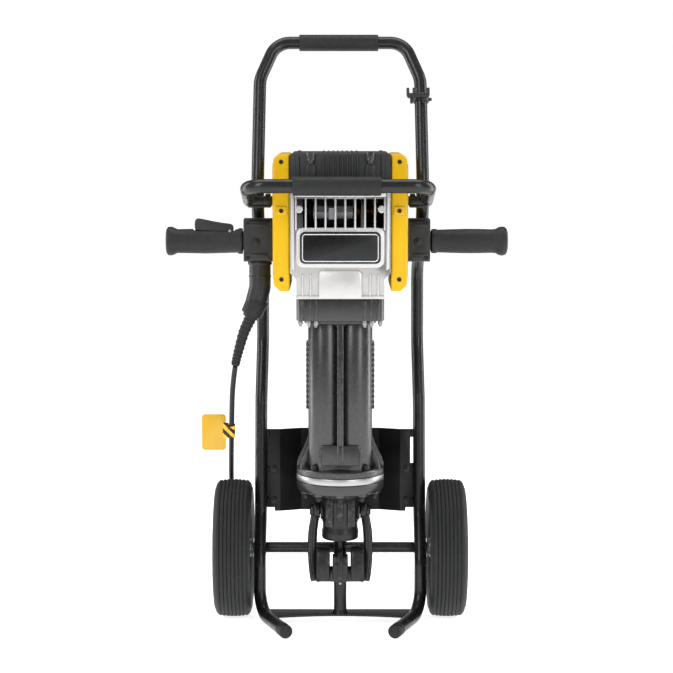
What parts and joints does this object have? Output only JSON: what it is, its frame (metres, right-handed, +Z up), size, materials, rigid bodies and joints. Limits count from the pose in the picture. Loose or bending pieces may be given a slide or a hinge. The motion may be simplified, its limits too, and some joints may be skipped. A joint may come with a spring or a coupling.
{
  "type": "electric pavement breaker on hammer truck",
  "caption": "Upright electric pavement breaker with side handles, yellow side covers and a silver motor housing, stowed on a black two-wheeled tube truck.",
  "frame": {"origin": "on the floor under the middle of the truck and breaker, free cord left out", "axes": "+Z up along the breaker's axis; -Y is the badge side the user faces; +X towards the side away from the trigger"},
  "size_m": [0.61, 0.5945, 1.072],
  "materials": {
    "black_tube": "semi-gloss black powder coat",
    "black_casting": "satin black painted casting",
    "black_plastic": "fine-grained matt",
    "rubber": "matt",
    "tyre": "matt moulded rubber",
    "yellow": "satin",
    "silver": "satin cast and painted",
    "steel": "machined",
    "tag": "laminated"
  },
  "bodies": {
    "cart": {"upright_left": "black_tube", "upright_right": "black_tube", "handle_loop": "black_tube", "top_grip": "rubber", "axle": "black_tube", "wheel_spacer_left": "steel", "wheel_spacer_right": "steel", "axle_nut_left": "steel", "axle_nut_right": "steel", "back_panel": "black_tube", "toe_plate": "black_tube", "tool_peg": "black_tube", "cord_hook": "black_plastic", "foot_cap_left": "rubber", "foot_cap_right": "rubber", "cord_hank": "rubber", "plug": "black_plastic"},
    "wheel_left": {"tyre_left": "tyre", "rim_left": "steel"},
    "wheel_right": {"tyre_right": "tyre", "rim_right": "steel"},
    "hammer": {"motor_housing": "silver", "top_cover": "black_plastic", "side_cover_left": "yellow", "side_cover_right": "yellow", "badge_plate": "black_plastic", "barrel_housing": "black_casting", "damper_ring": "silver", "nose_flange": "black_casting", "nose_housing": "black_casting", "handle_block_left": "black_plastic", "handle_block_right": "black_plastic", "handle_pin_left": "steel", "handle_pin_right": "steel", "carry_bar": "black_tube", "carry_grip": "rubber", "cord_tail": "black_plastic", "strain_relief": "rubber", "cord_lead": "rubber", "warning_tag": "tag", "stator": "steel", "motor_bearing_left": "steel", "motor_bearing_right": "steel", "cylinder": "steel", "beat_guide": "steel"},
    "handle_left": {"grip_left": "rubber", "trigger_pin": "steel", "switch_block": "black_plastic"},
    "handle_right": {"grip_right": "rubber"},
    "trigger_lever": {"trigger": "black_plastic"},
    "tool_retainer": {"retainer": "black_casting"},
    "motor_rotor": {"armature": "steel", "cooling_fan": "black_plastic"},
    "lay_gear": {"layshaft": "steel"},
    "crank": {"crank_gear": "steel"},
    "rod": {"connecting_rod": "steel", "wrist_pin": "steel"},
    "piston_body": {"piston": "steel"},
    "ram_body": {"ram": "steel"},
    "beat_body": {"beat_piece": "steel"}
  },
  "joints": [
    {"name": "wheel_left_roll", "type": "hinge", "parent": "cart", "child": "wheel_left", "pos_m": [-0.191, 0.0515, 0.127], "axis": [1, 0, 0], "continuous": true},
    {"name": "wheel_right_roll", "type": "hinge", "parent": "cart", "child": "wheel_right", "pos_m": [0.203, 0.0515, 0.127], "axis": [1, 0, 0], "continuous": true},
    {"name": "hammer_lift", "type": "slide", "parent": "cart", "child": "hammer", "axis": [0, 0, 1], "range_m": [0, 0.08]},
    {"name": "handle_left_float", "type": "hinge", "parent": "hammer", "child": "handle_left", "pos_m": [-0.144, -0.0165, 0.7015], "axis": [0, 1, 0], "range_deg": [-4, 4], "stiffness_Nm_per_rad": 60},
    {"name": "handle_right_float", "type": "hinge", "parent": "hammer", "child": "handle_right", "pos_m": [0.144, -0.0165, 0.7015], "axis": [0, 1, 0], "range_deg": [-4, 4], "stiffness_Nm_per_rad": 60},
    {"name": "trigger_squeeze", "type": "hinge", "parent": "handle_left", "child": "trigger_lever", "pos_m": [-0.191, -0.0165, 0.7205], "axis": [0, -1, 0], "range_deg": [0, 8], "stiffness_Nm_per_rad": 1.5},
    {"name": "retainer_swing", "type": "hinge", "parent": "hammer", "child": "tool_retainer", "pos_m": [0.006, -0.0145, 0.211], "axis": [-1, 0, 0], "range_deg": [0, 80]},
    {"name": "crank_turn", "type": "hinge", "parent": "hammer", "child": "crank", "pos_m": [0.006, -0.0145, 0.648], "axis": [1, 0, 0], "continuous": true},
    {"name": "lay_gear_turn", "type": "hinge", "parent": "hammer", "child": "lay_gear", "pos_m": [0.056, -0.00574, 0.68933], "axis": [1, 0, 0], "continuous": true},
    {"name": "rotor_turn", "type": "hinge", "parent": "hammer", "child": "motor_rotor", "pos_m": [0.006, -0.0145, 0.755], "axis": [1, 0, 0], "continuous": true},
    {"name": "rod_turn", "type": "hinge", "parent": "crank", "child": "rod", "pos_m": [0.006, -0.0145, 0.632], "axis": [1, 0, 0], "continuous": true},
    {"name": "piston_slide", "type": "slide", "parent": "hammer", "child": "piston_body", "axis": [0, 0, 1], "range_m": [0, 0.032]},
    {"name": "ram_slide", "type": "slide", "parent": "hammer", "child": "ram_body", "axis": [0, 0, 1], "range_m": [0, 0.06]},
    {"name": "beat_slide", "type": "slide", "parent": "hammer", "child": "beat_body", "axis": [0, 0, 1], "range_m": [0, 0.01]}
  ],
  "couplings": [
    {"joint": "lay_gear_turn", "follows": "crank_turn", "ratio": -3},
    {"joint": "rotor_turn", "follows": "crank_turn", "ratio": 9},
    {"joint": "rod_turn", "follows": "crank_turn", "ratio": -1}
  ]
}
